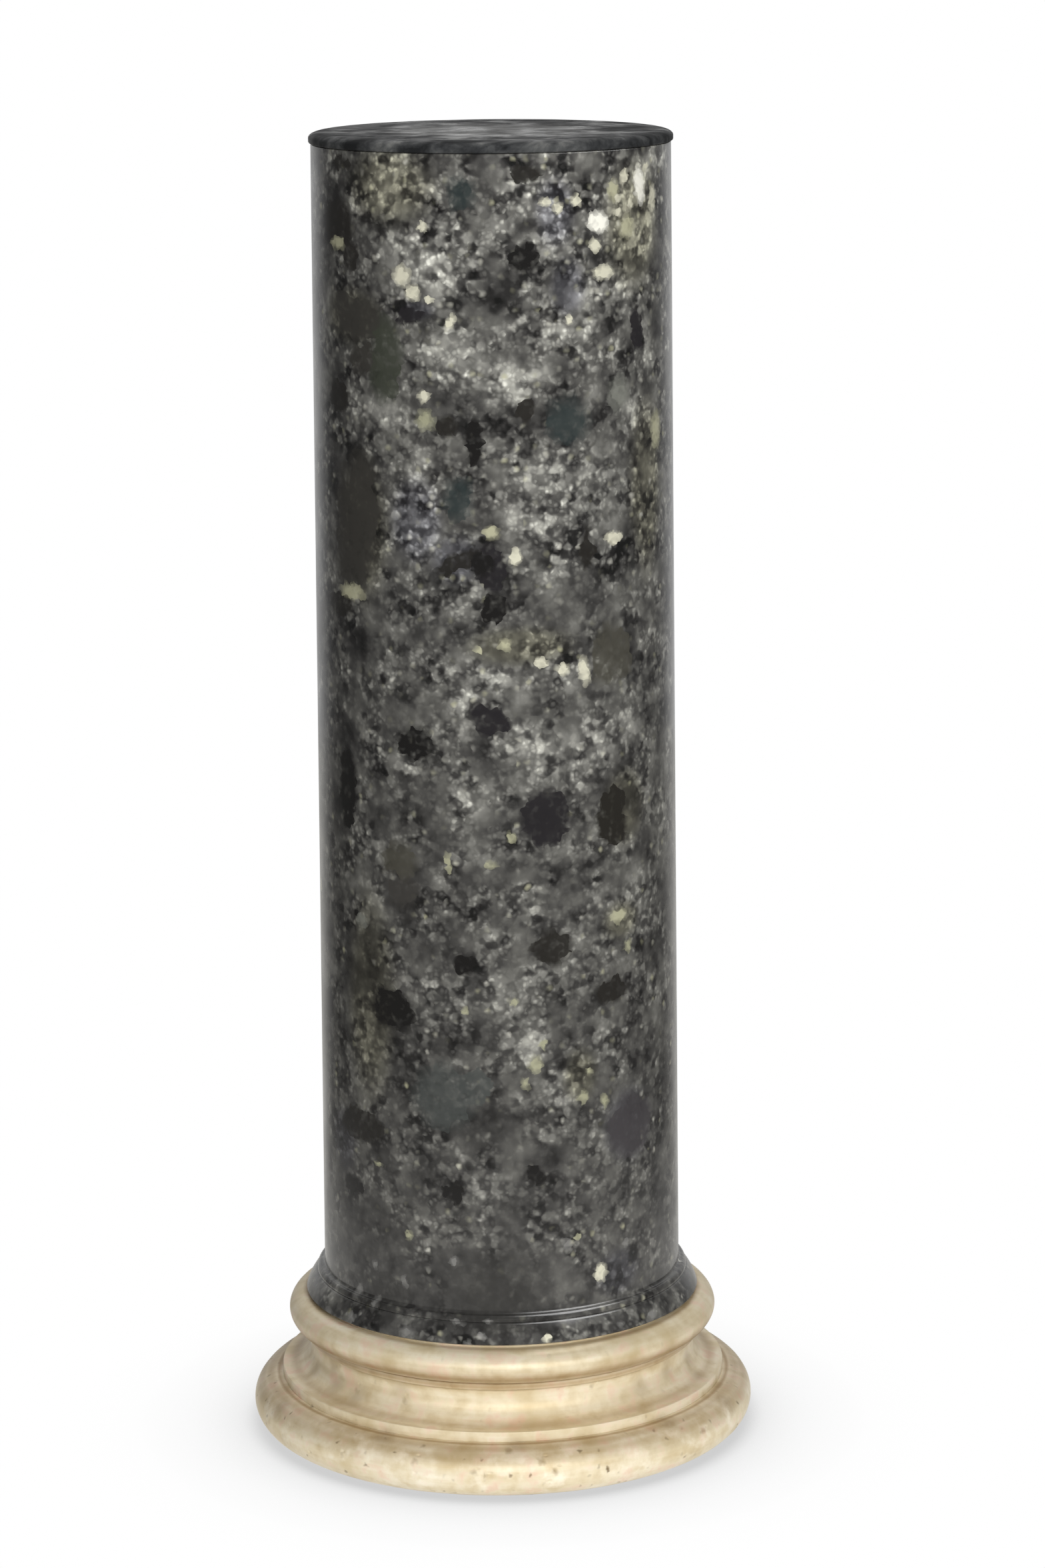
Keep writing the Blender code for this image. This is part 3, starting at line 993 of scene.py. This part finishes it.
# Smudges: brown smudges, and painted shade at the sides of the hollow.
SMUDGE_AND_SHADE_SPOTS = [
    (-71, 170.7, 57.1), (-56.2, 168.4, 59.5), (-46, 170.5, 57.5), (-60.4, 164, 71.4), (-31, 164, 71),
    (72, 166, 63), (44, 166, 64), (57, 164.5, 69), (69.4, 175, 54.2), (44, 197, 41), (-30, 197, 41.5),
    (3, 198, 41), (-66, 207, 36), (66, 207, 36), (128, 170, 58), (-150, 168, 60), (170, 197, 41),
]
SMUDGE_AND_SHADE_REACH = 15 * MM


def dirt_and_shade_in_recesses(tree, place, blotches):
    """1 at the bottom of each recess, fading out over its reach, which the blotches make ragged: dirt and
    painted shade.
    """
    shares = []
    for radius, height, reach_mm, most in RECESSES:
        reach = reach_mm * MM
        bottom = (radius * MM, height * MM, 0.0)
        away = add_node(tree, "VectorMath", [place, bottom], operation="DISTANCE").outputs["Value"]
        ragged = add_node(tree, "Math", [blotches, -0.8 * reach, away], operation="MULTIPLY_ADD")
        shares.append(add_node(tree, "MapRange", [ragged, 0.6 * reach, -0.5 * reach, 0.0, most], **SMOOTH))
    return furthest(tree, shares, "MAXIMUM")


def distance_to_nearest(tree, point, spots):
    """The distance from a point to the nearest of some spots on the base."""
    distances = []
    for azimuth, radius, height, *_ in spots:
        spot = tuple(knock_place(azimuth, radius, height))
        away = add_node(tree, "VectorMath", [point, spot], operation="DISTANCE")
        distances.append(away.outputs["Value"])
    return furthest(tree, distances, "MINIMUM")


print(len(RECESSES), "recesses hold dirt, and there are", len(SMUDGE_AND_SHADE_SPOTS), "smudges")

# %% [markdown]
# The lower round is the part that feet and brooms reach. There the leaf is rubbed to the pale
# gesso in patches, and small dark specks of old toning stick to it.

# %% Rubbed patches and specks
RUBBED_PATCH = 22 * MM
SPECK_CELL = 8 * MM
SPECK_SHAKE = 7 * MM
SPECK_PRESENCE = 0.38
LOWER_ROUND_TOP = 0.050
LOWER_ROUND_SHOULDER = 0.034


def rubbed_and_specked(tree, point, ragged, height):
    """Where the leaf is rubbed to the gesso, and where small dark specks lie: two shares."""
    low = add_node(tree, "MapRange", [height, LOWER_ROUND_TOP, LOWER_ROUND_SHOULDER, 0.15])
    crumbs = add_node(
        tree, "TexNoise", {"Vector": point, "Scale": 1 / RUBBED_PATCH, "Detail": 4.0, "Roughness": 0.6}
    )
    rubbed = add_node(tree, "MapRange", [crumbs, 0.48, 0.74, 0.0, 0.75], **SMOOTH)
    specks = add_node(tree, "TexVoronoi", {"Vector": ragged, "Scale": 1 / SPECK_CELL})
    lots = add_node(tree, "SeparateColor", [specks.outputs["Color"]])
    there = add_node(tree, "Math", [lots.outputs["Red"], SPECK_PRESENCE], operation="LESS_THAN")
    speck = add_node(tree, "MapRange", [specks.outputs["Distance"], 0.32, 0.06, 0.0, 0.9], **SMOOTH)
    rubbed = add_node(tree, "Math", [rubbed, low], operation="MULTIPLY")
    return rubbed, held_back(tree, speck, (there, lots.outputs["Green"], low))


# %% [markdown]
# The whole gilding. Leaf laid over pale bole reads as champagne rather than yellow. Where it is
# rubbed or dirty, and where shade is painted in, it is less metal and more chalk, so the metallic
# value stays low and the roughness rises with wear. Fine streaks make a shallow bump.

# %% Worn gilding: the whole material
BLOTCH = 48 * MM
PRESSED_PATCH = 15 * MM


def worn_gilding(tree):
    """Pale leaf on bole and gesso: a soft sheen where it holds, chalky where it is rubbed off."""
    point = add_node(tree, "TexCoord").outputs["Object"]
    radius = distance_from_axis(tree, point)
    height = add_node(tree, "SeparateXYZ", [point]).outputs["Z"]
    brushed = streaks(tree, point, radius, STREAK, 4.0)
    fine = streaks(tree, point, radius, FINE_STREAK, 3.0)
    blotches = add_node(tree, "TexNoise", {"Vector": point, "Scale": 1 / BLOTCH, "Detail": 3.0})
    pressed = add_node(tree, "TexNoise", {"Vector": point, "Scale": 1 / PRESSED_PATCH, "Detail": 3.0})
    tone = add_node(tree, "Mix", {0: 0.55, 2: brushed, 3: pressed}, data_type="FLOAT")
    toned = add_node(tree, "MapRange", [blotches, 0.48, 0.66, 0.0, 0.55])
    bole = add_node(tree, "MapRange", [pressed, 0.54, 0.70, 0.0, 0.60])
    ragged = crumbled(tree, point, SPECK_SHAKE)
    rubbed, speck = rubbed_and_specked(tree, point, ragged, height)
    # Dirt and painted shade in and near the recesses.
    dirt_and_shade = dirt_and_shade_in_recesses(tree, add_node(tree, "CombineXYZ", [radius, height]), blotches)
    # Smudges, partly painted shade at the sides of the hollow.
    smudge_and_shade = add_node(
        tree, "MapRange", [distance_to_nearest(tree, point, SMUDGE_AND_SHADE_SPOTS), 0.0, SMUDGE_AND_SHADE_REACH, 0.60, 0.0], **SMOOTH
    )
    smudge_and_shade = add_node(tree, "Math", [smudge_and_shade, brushed], operation="MULTIPLY")
    bruise = add_node(
        tree, "MapRange", [distance_to_nearest(tree, ragged, KNOCKS), 0.2 * MM, 4.6 * MM, 0.60, 0.0]
    )

    gold = add_node(
        tree, "ValToRGB", {"Fac": tone}, stops=[(0.34, "#d2bf99"), (0.50, "#e5d7b8"), (0.64, "#f2e9d3")]
    )
    # The dirt and smudge tints darken with painted shade as well as with dirt.
    for share, tint, blend in (
        (toned, "#cdb98e", "MIX"), (bole, "#e2bc9f", "MIX"), (rubbed, "#f5edda", "MIX"),
        (smudge_and_shade, "#8f7448", "MULTIPLY"), (speck, "#6e5838", "MIX"), (dirt_and_shade, "#a68a5e", "MULTIPLY"),
        (bruise, "#7a6240", "MIX"),
    ):
        gold = add_node(
            tree, "Mix", {0: share, 6: gold, 7: colour(tint)}, data_type="RGBA", blend_type=blend
        ).outputs[2]

    leaf = with_added(tree, 0.28, ((rubbed, -0.25), (dirt_and_shade, -0.20)))
    leaf.use_clamp = True
    dull = with_added(tree, 0.30, ((brushed, 0.25), (rubbed, 0.20)))
    brushwork = add_node(tree, "Bump", {"Strength": 0.35, "Distance": 0.3 * MM, "Height": fine})
    return {"Base Color": gold, "Roughness": dull, "Metallic": leaf, "Normal": brushwork}


dress(base, "worn_water_gilding", worn_gilding)

# %% [markdown]
# The top disc's slate is honed and not polished. Clouds of paler stone run through it, and the
# middle is paler and smoother, fading out to a ragged edge.

# %% Honed slate
CLOUD = 30 * MM
CLOUD_STRETCH = (0.8, 1.0, 1.0)
PALE_FULL_TO = 18 * MM
PALE_GONE_AT = 68 * MM
PALE_COVERS = 0.36
GRIT = 2 * MM


def honed_slate(tree):
    """Honed dark stone, IOR 1.5. Its pale clouds take a finer polish than the dark ones."""
    point = add_node(tree, "TexCoord").outputs["Object"]
    drawn = add_node(tree, "VectorMath", [point, CLOUD_STRETCH], operation="MULTIPLY")
    clouds = add_node(
        tree, "TexNoise",
        {"Vector": drawn, "Scale": 1 / CLOUD, "Detail": 5.0, "Roughness": 0.62, "Distortion": 0.4},
    )
    stone = add_node(
        tree, "ValToRGB", {"Fac": clouds},
        stops=[(0.36, "#1f2021"), (0.46, "#343536"), (0.55, "#4c4d4d"), (0.66, "#737370")],
    )
    radius = distance_from_axis(tree, point)
    ragged = add_node(tree, "Math", [clouds, -0.08, radius], operation="MULTIPLY_ADD")
    # A paler, smoother middle, fading out to a ragged edge.
    pale_middle = add_node(tree, "MapRange", [ragged, PALE_FULL_TO, PALE_GONE_AT, 1.0, 0.0], **SMOOTH)
    pale_share = add_node(tree, "Math", [pale_middle, PALE_COVERS], operation="MULTIPLY")
    stone = add_node(tree, "Mix", {0: pale_share, 6: stone, 7: colour("#8b8a86")}, data_type="RGBA").outputs[2]
    dull = add_node(tree, "MapRange", [clouds, 0.38, 0.64, 0.85, 0.42])
    dull = add_node(tree, "Math", [pale_middle, -0.17, dull], operation="MULTIPLY_ADD")
    grit = add_node(tree, "TexNoise", {"Vector": point, "Scale": 1 / GRIT, "Detail": 2.0})
    tooth = add_node(tree, "Bump", {"Strength": 0.2, "Distance": 0.1 * MM, "Height": grit})
    return {"Base Color": stone, "Roughness": dull, "IOR": 1.5, "Normal": tooth}


dress(top_disc, "honed_dark_slate", honed_slate)

# %% [markdown]
# Each finished piece stands for the frame's plain solid of the same shape and hides it. The
# column has no joints, so all three ride on the one body.

# %% Place the pieces in the frame
for piece, node, slot in (
    (base, "base", "gilding"), (shaft, "shaft", "scagliola"), (top_disc, "top_disc", "slate"),
):
    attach(piece, "root")
    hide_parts(node)
    print(piece.name, "stands for", node)
